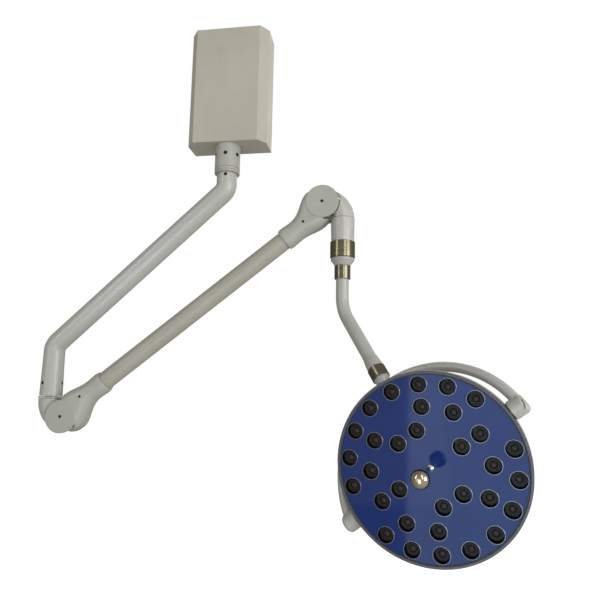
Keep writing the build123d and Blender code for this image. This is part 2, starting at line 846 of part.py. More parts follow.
# ================================================================ suspension tube
spindle_head = -ring_1_top_drop + 40
cone_top = -ring_1_end_drop
adapter_plug_radius = bent_tube_radius - bent_tube_wall - 0.05
cone_adapter = turned(
    drop_axis,
    [
        (8, -cone_end_drop - 36),
        (adapter_plug_radius, -cone_end_drop - 36),
        (adapter_plug_radius, -cone_end_drop - 0.1),
        (ring_2_radius - 0.5, -cone_end_drop - 0.1),
        (cone_lip_radius - 2, cone_top - 9.5),
        (cone_lip_radius, cone_top - 8.5),
        (cone_lip_radius, cone_top - 5.5),
        (cone_lip_radius - 1.5, cone_top - 4.8),
        (cone_lip_radius - 1.5, cone_top - 3.8),
        (cone_lip_radius, cone_top - 3),
        (cone_lip_radius, cone_top - 1.2),
        (cone_lip_radius - 1, cone_top - 0.6),
        (drop_spindle_radius, cone_top - 0.6),
        (drop_spindle_radius, spindle_head),
        (drop_spindle_radius - 1, spindle_head + 1),
        (8, spindle_head + 1),
    ],
)
finish_part(cone_adapter, "cone_adapter")

with BuildPart() as retaining_segment:
    with BuildSketch(Plane(origin=(drop_axis_x, swivel_y, drop(ring_1_top_drop) + 24))):
        Circle(24)
        Circle(drop_spindle_radius, mode=Mode.SUBTRACT)
        with Locations((0, -20)):
            Rectangle(2 * drop_spindle_radius, 40, mode=Mode.SUBTRACT)
    extrude(amount=6)
finish_part(retaining_segment, "retaining_segment")

drop_sleeve = turned(
    drop_axis,
    ring_points(bent_tube_radius + 0.05, ring_2_radius, -ring_2_end_drop, -cone_end_drop - 0.5, 0.8),
)
finish_part(drop_sleeve, "drop_sleeve")

bend_start = (drop_axis_x, swivel_y, drop(cone_end_drop + 0.4))
bent_tube_length = socket_start + 30
with BuildPart() as bent_tube:
    with BuildLine() as bent_path:
        FilletPolyline(
            bend_start, bend_point, bend_point + hanger * bent_tube_length, radius=bent_tube_bend_radius
        )
    with BuildSketch(Plane(origin=bend_start, x_dir=RIGHT, z_dir=UP)):
        Circle(bent_tube_radius)
        Circle(bent_tube_radius - bent_tube_wall, mode=Mode.SUBTRACT)
    sweep(path=bent_path.wires()[0])
finish_part(bent_tube, "bent_tube")

yoke_spigot_radius = 12.0
sleeve_3_seat = ring_3_radius - 2.2
lower_socket = turned(
    hanger_axis,
    [
        (bent_tube_radius + 0.05, socket_start),
        (bent_tube_radius + 1, socket_start),
        (sleeve_3_seat - 0.3, socket_flare_end),
        (sleeve_3_seat + 0.4, ring_3_start - 0.5),
        (sleeve_3_seat, ring_3_start - 0.5),
        (sleeve_3_seat, ring_3_end - 4),
        (yoke_spigot_radius + running_clearance, ring_3_end - 4),
        (yoke_spigot_radius + running_clearance, bent_tube_length + 0.5),
        (bent_tube_radius + 0.05, bent_tube_length + 0.5),
    ],
)
finish_part(lower_socket, "lower_socket")

yoke_sleeve = turned(
    hanger_axis, ring_points(sleeve_3_seat + 0.1, ring_3_radius, ring_3_start, ring_3_end - 3.8, 0.5)
)
finish_part(yoke_sleeve, "yoke_sleeve")

# ================================================================ yoke
yoke_wall = 2.5
yoke_end_angle = 3.4
yoke_top = head_distance + yoke_centre_shift - yoke_radius
yoke_boss_radius = 20.5
yoke_boss = [
    (8, bent_tube_length + 1),
    (yoke_spigot_radius, bent_tube_length + 1),
    (yoke_spigot_radius, ring_3_end - 3.4),
    (yoke_boss_radius, ring_3_end - 3.4),
    (yoke_boss_radius, ring_3_end + 4),
    (15, yoke_top - 4),
    (8, yoke_top - 4),
]


def yoke_section(short_of_axis):
    """Start of the yoke's half ring, an angle short of its own diameter."""
    start = rotated_in_plane(yoke_plane, -short_of_axis)
    return Plane(origin=local_point(start, yoke_radius, 0), x_dir=start.x_dir, z_dir=start.y_dir * -1)


with BuildPart() as yoke_tube:
    with BuildSketch(yoke_section(yoke_end_angle)):
        Circle(yoke_tube_radius)
        Circle(yoke_tube_radius - yoke_wall, mode=Mode.SUBTRACT)
    revolve(axis=Axis(yoke_centre, yoke_normal * -1), revolution_arc=180 - 2 * yoke_end_angle)
    with BuildSketch(hanger_axis):
        with BuildLine():
            Polyline(*yoke_boss, close=True)
        make_face()
    revolve(axis=Axis(bend_point, hanger))
finish_part(yoke_tube, "yoke_tube")

block_radius = 23.0
block_hole_radius = 11.5
block_hole_depth = 8.0
with BuildPart() as pivot_blocks:
    for side in (-1, 1):
        with BuildSketch(turning_plane(head_centre, tilt_axis * side, hanger)):
            with BuildLine():
                Polyline(
                    (stud_radius + running_clearance, block_inner),
                    (block_radius - 0.6, block_inner),
                    (block_radius, block_inner + 0.6),
                    (block_radius, block_outer - 8),
                    (block_radius - 2, block_outer - 4),
                    (block_radius - 5.5, block_outer - 1),
                    (block_radius - 9, block_outer),
                    (block_hole_radius + 1, block_outer),
                    (block_hole_radius, block_outer - 1.5),
                    (block_hole_radius, block_outer - block_hole_depth),
                    (stud_radius + running_clearance, block_outer - block_hole_depth),
                    close=True,
                )
            make_face()
        revolve(axis=Axis(head_centre, tilt_axis * side))
    with BuildSketch(yoke_section(yoke_end_angle - 0.05)):
        Circle(yoke_tube_radius + 0.05)
    revolve(
        axis=Axis(yoke_centre, yoke_normal * -1),
        revolution_arc=180 - 2 * yoke_end_angle + 0.1,
        mode=Mode.SUBTRACT,
    )
    # Slot in one block's shoulder, on the room side, for the key that sets the friction.
    shoulder = head_centre - tilt_axis * (block_outer - 4) + light_axis * (block_radius - 2)
    with BuildSketch(Plane(origin=shoulder, x_dir=hanger, z_dir=light_axis - tilt_axis)):
        SlotOverall(22, 4)
    extrude(amount=6, both=True, mode=Mode.SUBTRACT)
finish_part(pivot_blocks, "pivot_blocks")

washer_start = head_radius + 0.6
with BuildPart() as friction_washers:
    for side in (-1, 1):
        washer_centre = head_centre + tilt_axis * side * washer_start
        with BuildSketch(Plane(origin=washer_centre, x_dir=hanger, z_dir=tilt_axis * side)):
            Circle(block_radius - 2)
            Circle(stud_radius + 0.3, mode=Mode.SUBTRACT)
        extrude(amount=block_inner - washer_start)
finish_part(friction_washers, "friction_washers")

# ================================================================ lamp head
housing_wall = 3.0
housing_inner = head_radius - housing_wall
rim_top = 19.0
side_bottom = -12.0
back_radius = 150.0
back_level = -46.0
cap_radius = 62.0
cap_level = -56.0
glass_back = glass_front - glass_thickness
ledge_radius = 215.0
vent_count = 36
housing_screw_circle = 110.0

with BuildPart() as head_housing:
    with BuildSketch(head_axis):
        with BuildLine():
            Polyline((glass_radius + 0.2, rim_top), (head_radius, rim_top), (head_radius, side_bottom))
            Spline((head_radius, side_bottom), (back_radius, back_level), tangents=((0, -1), (-1, 0)))
            Polyline(
                (back_radius, back_level),
                (cap_radius + 4, back_level - 4),
                (cap_radius, cap_level),
                (0, cap_level),
                (0, cap_level + housing_wall),
                (cap_radius - 2.5, cap_level + housing_wall),
                (cap_radius + 2, back_level - 1),
                (back_radius, back_level + housing_wall),
            )
            Spline(
                (back_radius, back_level + housing_wall),
                (housing_inner, side_bottom),
                tangents=((1, 0), (0, 1)),
            )
            Polyline(
                (housing_inner, side_bottom),
                (housing_inner, rim_top - 3),
                (ledge_radius, rim_top - 3),
                (ledge_radius, glass_back - 0.05),
                (glass_radius + 0.2, glass_back - 0.05),
                (glass_radius + 0.2, rim_top),
            )
        make_face()
    revolve(axis=Axis(head_centre, light_axis))
    with BuildSketch(head_plane.offset(back_level - 10)):
        with PolarLocations(172, vent_count):
            SlotOverall(38, 4)
        with PolarLocations(housing_screw_circle, 6, start_angle=30):
            Circle(2.8)
    extrude(amount=26, mode=Mode.SUBTRACT)
    for side in (-1, 1):
        wall_inside = head_centre + tilt_axis * side * (head_radius - 8)
        with BuildSketch(Plane(origin=wall_inside, z_dir=tilt_axis * side)):
            Circle(stud_radius + 0.3)
        extrude(amount=12, mode=Mode.SUBTRACT)
finish_part(head_housing, "head_housing")

housing_screw_level = back_level - 2.7
with BuildPart() as housing_screws:
    with BuildSketch(head_plane.offset(housing_screw_level)):
        with PolarLocations(housing_screw_circle, 6, start_angle=30):
            Circle(5)
    extrude(amount=-2.5)
    with BuildSketch(head_plane.offset(housing_screw_level)):
        with PolarLocations(housing_screw_circle, 6, start_angle=30):
            Circle(2.5)
    extrude(amount=14)
    with BuildSketch(head_plane.offset(housing_screw_level - 2.5)):
        with PolarLocations(housing_screw_circle, 6, start_angle=30):
            RegularPolygon(2.4, 6)
    extrude(amount=1.6, mode=Mode.SUBTRACT)
finish_part(housing_screws, "housing_screws")

bezel_ring = turned(
    head_axis,
    [
        (glass_radius + 0.35, rim_top + 0.1),
        (head_radius + 0.4, rim_top + 0.1),
        (head_radius + 0.4, rim_top + 7.5),
        (head_radius - 0.8, rim_top + 9),
        (glass_radius + 1.6, rim_top + 9),
        (glass_radius + 0.35, rim_top + 8.4),
    ],
)
finish_part(bezel_ring, "bezel_ring")

panel_seal = turned(
    head_axis, ring_points(glass_radius - 2, glass_radius + 0.3, glass_front, glass_front + 1.2, 0.3)
)
finish_part(panel_seal, "panel_seal")


def ring_places(radius, angles):
    return [(radius * cos(radians(a)), radius * sin(radians(a))) for a in angles]


# The rings leave out the places at the pivots, and the middle ring the two a quarter turn from them.
led_places = ring_places(outer_ring_radius, [20 * k for k in range(18) if k not in (0, 9)])
led_places += ring_places(middle_ring_radius, [30 * k for k in range(12) if k not in (3, 9)])
led_places += ring_places(inner_ring_radius, [0, 72, 108, 180, 252, 288])
led_frames = [rotated_in_plane(head_plane, 0, x, y).location for x, y in led_places]
handle_hole_radius = 5.2

with BuildPart() as front_panel:
    with BuildSketch(head_plane.offset(glass_back)):
        Circle(glass_radius)
        with Locations(*led_places):
            Circle(cup_hole_radius, mode=Mode.SUBTRACT)
        Circle(handle_hole_radius, mode=Mode.SUBTRACT)
    extrude(amount=glass_thickness)
finish_part(front_panel, "front_panel")

cup_floor = 8.0
lens_seat = 10.0
lens_radius = 16.8
cup_points = [
    (14, cup_floor),
    (cup_hole_radius - 0.3, cup_floor),
    (cup_hole_radius - 0.3, glass_front),
    (cup_radius, glass_front),
    (cup_radius, glass_front + 1.1),
    (cup_radius - 0.5, glass_front + 1.6),
    (cup_radius - 1.7, glass_front + 1.6),
    (lens_radius + 0.2, lens_seat + 4),
    (lens_radius + 0.2, lens_seat),
    (14, lens_seat),
]
cup = turned(Plane.XZ, cup_points)
lens = turned(
    Plane.XZ,
    [
        (0, lens_seat),
        (lens_radius, lens_seat),
        (lens_radius, lens_seat + 3.2),
        (15, lens_seat + 4.4),
        (12, lens_seat + 5.8),
        (8, lens_seat + 6.9),
        (4, lens_seat + 7.6),
        (0, lens_seat + 7.8),
    ],
)
for label, single in (("lens_cups", cup), ("led_lenses", lens)):
    with BuildPart() as led_set:
        with Locations(*led_frames):
            add(single.part)
    finish_part(led_set, label)

board_radius = 212.0
notch_start = 192.0
notch_half_width = 34.0
with BuildPart() as led_board:
    with BuildSketch(head_plane.offset(4)):
        Circle(board_radius)
        with Locations((-notch_start - 20, 0), (notch_start + 20, 0)):
            Rectangle(40, 2 * notch_half_width, mode=Mode.SUBTRACT)
        Circle(12, mode=Mode.SUBTRACT)
    extrude(amount=2)
finish_part(led_board, "led_board")

pillar_radius = 6.0
with BuildPart() as heat_sink:
    with BuildSketch(head_plane):
        Circle(board_radius - 4)
        with Locations((-notch_start - 20, 0), (notch_start + 20, 0)):
            Rectangle(40, 2 * notch_half_width, mode=Mode.SUBTRACT)
        Circle(12, mode=Mode.SUBTRACT)
    extrude(amount=4)
    with BuildSketch(head_plane):
        with GridLocations(24, 0, 13, 1):
            Rectangle(2.5, 400)
        Circle(165, mode=Mode.INTERSECT)
    extrude(amount=-20)
    with BuildSketch(head_plane):
        with PolarLocations(housing_screw_circle, 6, start_angle=30):
            Circle(pillar_radius)
    extrude(amount=back_level + 1.8)
    with BuildSketch(head_plane.offset(back_level)):
        with PolarLocations(housing_screw_circle, 6, start_angle=30):
            Circle(2.5)
    extrude(amount=14, mode=Mode.SUBTRACT)
finish_part(heat_sink, "heat_sink")

stud_root = 205.0
stud_length = block_outer - 5 - stud_root
with BuildPart() as pivot_studs:
    with BuildSketch(head_plane.offset(-13)):
        Circle(housing_inner - 0.02)
        Rectangle(2 * head_radius, 60, mode=Mode.INTERSECT)
        Rectangle(392, 70, mode=Mode.SUBTRACT)
    extrude(amount=26)
    for side in (-1, 1):
        stud_base = head_centre + tilt_axis * side * stud_root
        stud_start = Plane(origin=stud_base, x_dir=light_axis, z_dir=tilt_axis * side)
        with BuildSketch(stud_start):
            Circle(stud_radius)
        extrude(amount=stud_length)
        with BuildSketch(stud_start.offset(stud_length)):
            RegularPolygon(4, 6)
        extrude(amount=-5, mode=Mode.SUBTRACT)
finish_part(pivot_studs, "pivot_studs")

# ================================================================ handle
ball_level = glass_front + 118
handle_neck = 4.6
with BuildPart() as handle_stem:
    with BuildSketch(head_axis):
        with BuildLine():
            Polyline(
                (handle_neck, glass_front + 8),
                (9, glass_front + 3),
                (9, glass_front + 0.05),
                (handle_neck, glass_front + 0.05),
                (handle_neck, glass_back - 0.05),
                (10, glass_back - 0.05),
                (10, 13),
                (0, 13),
                (0, ball_level - 14),
                (12, ball_level - 14),
            )
            Spline((12, ball_level - 14), (handle_neck, glass_front + 8), tangents=((-0.25, -1), (0, -1)))
        make_face()
    revolve(axis=Axis(head_centre, light_axis))
finish_part(handle_stem, "handle_stem")

with BuildPart() as handle_ball:
    with Locations(local_point(head_plane, 0, 0, ball_level)):
        Sphere(handle_ball_radius)
    with BuildSketch(head_plane.offset(ball_level - 13.9)):
        Circle(handle_ball_radius + 5)
    extrude(amount=-20, mode=Mode.SUBTRACT)
finish_part(handle_ball, "handle_ball")

os.makedirs("parts", exist_ok=True)
for builder in finished:
    export_step(builder.part, "parts/" + builder.part.label + ".step")
print(len(finished), "parts written")
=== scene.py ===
import json
import math

import bmesh
import bpy
from mathutils import Matrix, Vector


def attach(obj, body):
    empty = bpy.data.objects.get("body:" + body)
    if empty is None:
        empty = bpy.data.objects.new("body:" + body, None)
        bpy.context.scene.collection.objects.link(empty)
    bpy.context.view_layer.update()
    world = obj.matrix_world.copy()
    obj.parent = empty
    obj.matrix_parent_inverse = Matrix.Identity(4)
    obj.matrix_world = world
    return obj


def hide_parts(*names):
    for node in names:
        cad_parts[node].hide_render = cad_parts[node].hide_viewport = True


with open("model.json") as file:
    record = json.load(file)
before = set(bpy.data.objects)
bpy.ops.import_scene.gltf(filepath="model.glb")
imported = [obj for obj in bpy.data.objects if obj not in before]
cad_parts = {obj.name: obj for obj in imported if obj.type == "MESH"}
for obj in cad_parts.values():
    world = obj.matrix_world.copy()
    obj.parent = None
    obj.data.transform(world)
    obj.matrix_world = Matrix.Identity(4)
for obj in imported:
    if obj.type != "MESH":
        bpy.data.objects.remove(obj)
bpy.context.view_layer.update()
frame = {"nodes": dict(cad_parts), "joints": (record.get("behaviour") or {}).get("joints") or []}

# Wall-mounted surgical light.  Metres, +Z up, the wall is the plane Y = 0 and the room is on the -Y side.

NODES = frame["nodes"]
JOINTS = {joint["name"]: joint for joint in frame["joints"]}

# ---------------------------------------------------------------- camera
CAMERA_PLACE = Vector((0.5118, -1.7545, -0.9609))
CAMERA_YAW = math.radians(-9.03)
CAMERA_PITCH = math.radians(8.85)
CAMERA_ROLL = math.radians(1.02)
CAMERA_LENS = 34.5
SENSOR_WIDTH = 36


def make_camera():
    """Yaw is from the wall's normal, pitch from level, and roll about the line of sight."""
    forward = Vector(
        (
            math.sin(CAMERA_YAW) * math.cos(CAMERA_PITCH),
            math.cos(CAMERA_YAW) * math.cos(CAMERA_PITCH),
            math.sin(CAMERA_PITCH),
        )
    )
    level = Vector((math.cos(CAMERA_YAW), -math.sin(CAMERA_YAW), 0))
    upright = level.cross(forward)
    right = math.cos(CAMERA_ROLL) * level + math.sin(CAMERA_ROLL) * upright
    up = math.cos(CAMERA_ROLL) * upright - math.sin(CAMERA_ROLL) * level
    data = bpy.data.cameras.new("camera")
    data.lens = CAMERA_LENS
    data.sensor_width = SENSOR_WIDTH
    data.clip_end = 100
    camera = bpy.data.objects.new("camera", data)
    turn = Matrix((right, up, -forward)).transposed().to_4x4()
    camera.matrix_world = Matrix.Translation(CAMERA_PLACE) @ turn
    bpy.context.scene.collection.objects.link(camera)
    bpy.context.scene.camera = camera


make_camera()

# ---------------------------------------------------------------- frames of the yoke and the head
hanger = Vector(JOINTS["yoke_turn"]["axis"]).normalized()
tilt_axis = -Vector(JOINTS["head_tilt"]["axis"]).normalized()
head_centre = Vector(JOINTS["head_tilt"]["pos_m"])
yoke_normal = tilt_axis.cross(hanger)
HEAD_TILT = math.radians(25)
light_axis = (yoke_normal * math.cos(HEAD_TILT) + hanger * math.sin(HEAD_TILT)).normalized()
side_axis = light_axis.cross(tilt_axis)


def frame_matrix(origin, x_axis, z_axis):
    """Turns a frame's own coordinates into the part's."""
    y_axis = z_axis.cross(x_axis)
    rotation = Matrix((x_axis, y_axis, z_axis)).transposed().to_4x4()
    return Matrix.Translation(origin) @ rotation


# ---------------------------------------------------------------- material building
# Socket numbers of a Mix node that mixes colours.
MIX_FACTOR = 0
MIX_FIRST = 6
MIX_SECOND = 7
MIX_RESULT = 2


def set_stops(color_ramp, stops):
    """stops: (position, colour) each, in order."""
    for element, (position, color) in zip(color_ramp.elements, (stops[0], stops[-1])):
        element.position = position
        element.color = (*color, 1)
    for position, color in stops[1:-1]:
        color_ramp.elements.new(position).color = (*color, 1)


class Nodes:
    """A few short calls over a material's node tree."""

    def __init__(self, name):
        self.material = bpy.data.materials.new(name)
        self.material.use_nodes = True
        self.tree = self.material.node_tree
        self.shader = self.tree.nodes["Principled BSDF"]
        self.place = self.add("ShaderNodeTexCoord").outputs["Object"]

    def add(self, kind):
        return self.tree.nodes.new(kind)

    def link(self, source, target):
        self.tree.links.new(source, target)

    def mapped(self, scale=(1, 1, 1), rotation=(0, 0, 0)):
        node = self.add("ShaderNodeMapping")
        node.inputs["Scale"].default_value = scale
        node.inputs["Rotation"].default_value = rotation
        self.link(self.place, node.inputs["Vector"])
        return node.outputs["Vector"]

    def noise(self, scale, detail=3.0, vector=None, roughness=0.5):
        """Cloudy noise with about scale features to the metre."""
        node = self.add("ShaderNodeTexNoise")
        node.inputs["Scale"].default_value = scale
        node.inputs["Detail"].default_value = detail
        node.inputs["Roughness"].default_value = roughness
        self.link(vector or self.place, node.inputs["Vector"])
        return node.outputs["Fac"]

    def voronoi(self, scale, feature="F1", vector=None):
        node = self.add("ShaderNodeTexVoronoi")
        node.feature = feature
        node.inputs["Scale"].default_value = scale
        self.link(vector or self.place, node.inputs["Vector"])
        return node.outputs["Distance"]

    def ramp(self, value, stops):
        node = self.add("ShaderNodeValToRGB")
        set_stops(node.color_ramp, stops)
        self.link(value, node.inputs["Fac"])
        return node.outputs["Color"]

    def spread(self, value, low, high):
        """Stretches the middle of a noise, where nearly all of it lies, from low to high."""
        node = self.add("ShaderNodeMapRange")
        node.inputs["From Min"].default_value = 0.3
        node.inputs["From Max"].default_value = 0.7
        node.inputs["To Min"].default_value = low
        node.inputs["To Max"].default_value = high
        self.link(value, node.inputs["Value"])
        return node.outputs["Result"]

    def mix(self, first, second, factor, mode="MIX"):
        node = self.add("ShaderNodeMix")
        node.data_type = "RGBA"
        node.blend_type = mode
        for socket, value in ((node.inputs[MIX_FIRST], first), (node.inputs[MIX_SECOND], second)):
            if isinstance(value, tuple):
                socket.default_value = (*value, 1)
            else:
                self.link(value, socket)
        if isinstance(factor, float):
            node.inputs[MIX_FACTOR].default_value = factor
        else:
            self.link(factor, node.inputs[MIX_FACTOR])
        return node.outputs[MIX_RESULT]

    def color(self, value):
        self.link(value, self.shader.inputs["Base Color"])

    def roughness(self, value):
        self.link(value, self.shader.inputs["Roughness"])

    def bump(self, heights):
        """heights: (value, strength, distance) each, chained into the shader's normal."""
        previous = None
        for value, strength, distance in heights:
            node = self.add("ShaderNodeBump")
            node.inputs["Strength"].default_value = strength
            node.inputs["Distance"].default_value = distance
            self.link(value, node.inputs["Height"])
            if previous:
                self.link(previous, node.inputs["Normal"])
            previous = node.outputs["Normal"]
        self.link(previous, self.shader.inputs["Normal"])

    def set(self, **values):
        for key, value in values.items():
            self.shader.inputs[key.replace("_", " ")].default_value = value


def scaled(color, factor):
    return tuple(min(1.0, part * factor) for part in color)


def painted(name, color, gloss=0.42, peel=0.12, stain=0.94):
    """Powder coat: large faint tone changes, fine orange peel, dust specks and dull patches from wiping."""
    m = Nodes(name)
    tone = m.ramp(m.noise(5.0, 4.0), [(0.3, scaled(color, stain)), (0.7, scaled(color, 1.04))])
    speck = m.ramp(m.noise(900.0, 2.0), [(0.38, (0.9, 0.9, 0.89)), (0.55, (1, 1, 1))])
    worn = m.ramp(m.noise(26.0, 6.0, roughness=0.7), [(0.3, (0.93, 0.92, 0.89)), (0.5, (1, 1, 1))])
    m.color(m.mix(m.mix(tone, speck, 0.5, "MULTIPLY"), worn, 0.6, "MULTIPLY"))
    m.roughness(m.spread(m.noise(14.0, 5.0), gloss - 0.06, gloss + 0.1))
    m.bump([(m.noise(650.0, 2.0), peel, 0.0003), (m.noise(60.0, 2.0), 0.05, 0.0006)])
    m.set(Specular_IOR_Level=0.5)
    return m.material


def brushed(name, color, gloss):
    """Turned metal: fine level lines, with worn lighter patches."""
    m = Nodes(name)
    lines = m.noise(1.0, 3.0, m.mapped((6, 6, 2600)))
    coarse = m.noise(1.0, 2.0, m.mapped((3, 3, 420)))
    tone = m.ramp(lines, [(0.3, scaled(color, 0.75)), (0.7, scaled(color, 1.3))])
    band = m.ramp(coarse, [(0.35, (0.82, 0.81, 0.8)), (0.65, (1, 1, 1))])
    m.color(m.mix(tone, band, 0.7, "MULTIPLY"))
    m.roughness(m.spread(lines, gloss - 0.06, gloss + 0.14))
    m.bump([(lines, 0.12, 0.0002)])
    m.set(Metallic=1.0)
    return m.material


def polished(name, color, gloss=0.06, haze=0.08, tarnish=None):
    """Polished plating with faint wipe marks, and tarnished patches when their colour is given."""
    m = Nodes(name)
    tone = m.ramp(m.noise(40.0, 4.0), [(0.3, scaled(color, 0.94)), (0.7, scaled(color, 1.04))])
    if tarnish:
        tone = m.mix(tone, tarnish, m.spread(m.noise(34.0, 2.0), 0.0, 1.0))
    m.color(tone)
    m.roughness(m.spread(m.noise(110.0, 6.0), gloss, gloss + haze))
    m.bump([(m.noise(240.0, 2.0), 0.03, 0.0002)])
    m.set(Metallic=1.0)
    return m.material


def turned_bronze(name, rotation=(0, 0, 0)):
    """Dark olive bronze turned on a lathe: fine lines round the piece, smooth enough to mirror the room."""
    m = Nodes(name)
    lines = m.noise(1.0, 3.0, m.mapped((5, 5, 1500), rotation))
    patch = m.noise(70.0, 4.0)
    tone = m.ramp(lines, [(0.35, (0.125, 0.11, 0.072)), (0.65, (0.195, 0.173, 0.12))])
    stain = m.ramp(patch, [(0.35, (0.8, 0.78, 0.72)), (0.6, (1, 1, 1))])
    m.color(m.mix(tone, stain, 0.6, "MULTIPLY"))
    m.roughness(m.spread(lines, 0.16, 0.26))
    m.bump([(lines, 0.05, 0.0001)])
    m.set(Metallic=1.0)
    return m.material


def machined(name, color, gloss=0.36):
    """Bare or zinc-plated steel: cloudy tone and fine scratches."""
    m = Nodes(name)
    cloud = m.ramp(m.noise(28.0, 5.0), [(0.25, scaled(color, 0.8)), (0.75, scaled(color, 1.15))])
    scratch = m.ramp(m.noise(1.0, 2.0, m.mapped((1400, 60, 60))), [(0.4, (0.8, 0.8, 0.8)), (0.6, (1, 1, 1))])
    m.color(m.mix(cloud, scratch, 0.5, "MULTIPLY"))
    m.roughness(m.spread(m.noise(90.0, 4.0), gloss - 0.08, gloss + 0.12))
    m.bump([(m.noise(500.0, 3.0), 0.1, 0.0002)])
    m.set(Metallic=1.0)
    return m.material


def black_oxide(name, color=(0.018, 0.017, 0.016)):
    """Blackened steel with a fine matt grain."""
    m = Nodes(name)
    m.color(m.ramp(m.noise(160.0, 4.0), [(0.3, scaled(color, 0.7)), (0.7, scaled(color, 1.8))]))
    m.roughness(m.spread(m.noise(300.0, 3.0), 0.35, 0.6))
    m.bump([(m.noise(900.0, 2.0), 0.15, 0.0002)])
    m.set(Metallic=0.6)
    return m.material


def rubber(name, color=(0.016, 0.016, 0.018)):
    """Black rubber with a dusty grain."""
    m = Nodes(name)
    m.color(m.ramp(m.noise(120.0, 4.0), [(0.3, scaled(color, 0.8)), (0.7, scaled(color, 1.6))]))
    m.roughness(m.spread(m.noise(400.0, 3.0), 0.55, 0.75))
    m.bump([(m.noise(1200.0, 2.0), 0.2, 0.0002)])
    return m.material


def blue_panel(name):
    """Blue print behind a glossy sheet: even colour with a slight cloud and a very fine grain."""
    m = Nodes(name)
    tone = m.ramp(m.noise(7.0, 3.0), [(0.3, (0.007, 0.024, 0.145)), (0.7, (0.01, 0.033, 0.178))])
    grain = m.ramp(m.noise(1300.0, 2.0), [(0.4, (0.86, 0.88, 0.92)), (0.6, (1, 1, 1))])
    m.color(m.mix(tone, grain, 0.5, "MULTIPLY"))
    m.roughness(m.spread(m.noise(18.0, 5.0), 0.045, 0.085))
    m.bump([(m.noise(9.0, 2.0), 0.02, 0.0008)])
    m.set(IOR=1.26)
    return m.material


def lens_glass(name):
    """Clear dome over a dark emitter: brown-black with a faint ringed tone."""
    m = Nodes(name)
    m.color(m.ramp(m.voronoi(420.0), [(0.1, (0.01, 0.008, 0.0065)), (0.5, (0.026, 0.0205, 0.0155))]))
    m.roughness(m.spread(m.noise(220.0, 3.0), 0.24, 0.38))
    m.bump([(m.noise(500.0, 2.0), 0.06, 0.0002)])
    m.set(IOR=1.26)
    return m.material


def circuit_board(name):
    """White solder mask, faintly mottled."""
    m = Nodes(name)
    m.color(m.ramp(m.voronoi(160.0), [(0.2, (0.62, 0.63, 0.6)), (0.6, (0.74, 0.75, 0.72))]))
    m.roughness(m.spread(m.noise(90.0, 3.0), 0.4, 0.6))
    m.bump([(m.voronoi(240.0), 0.1, 0.0002)])
    return m.material


WARM_PAINT = (0.465, 0.445, 0.378)
GREY_PAINT = (0.392, 0.396, 0.35)
WHITE_PAINT = (0.455, 0.453, 0.425)
hanger_turn = hanger.to_track_quat("Z", "Y").inverted().to_euler()
STEEL = (0.42, 0.42, 0.41)
BUSH = (0.42, 0.30, 0.15)

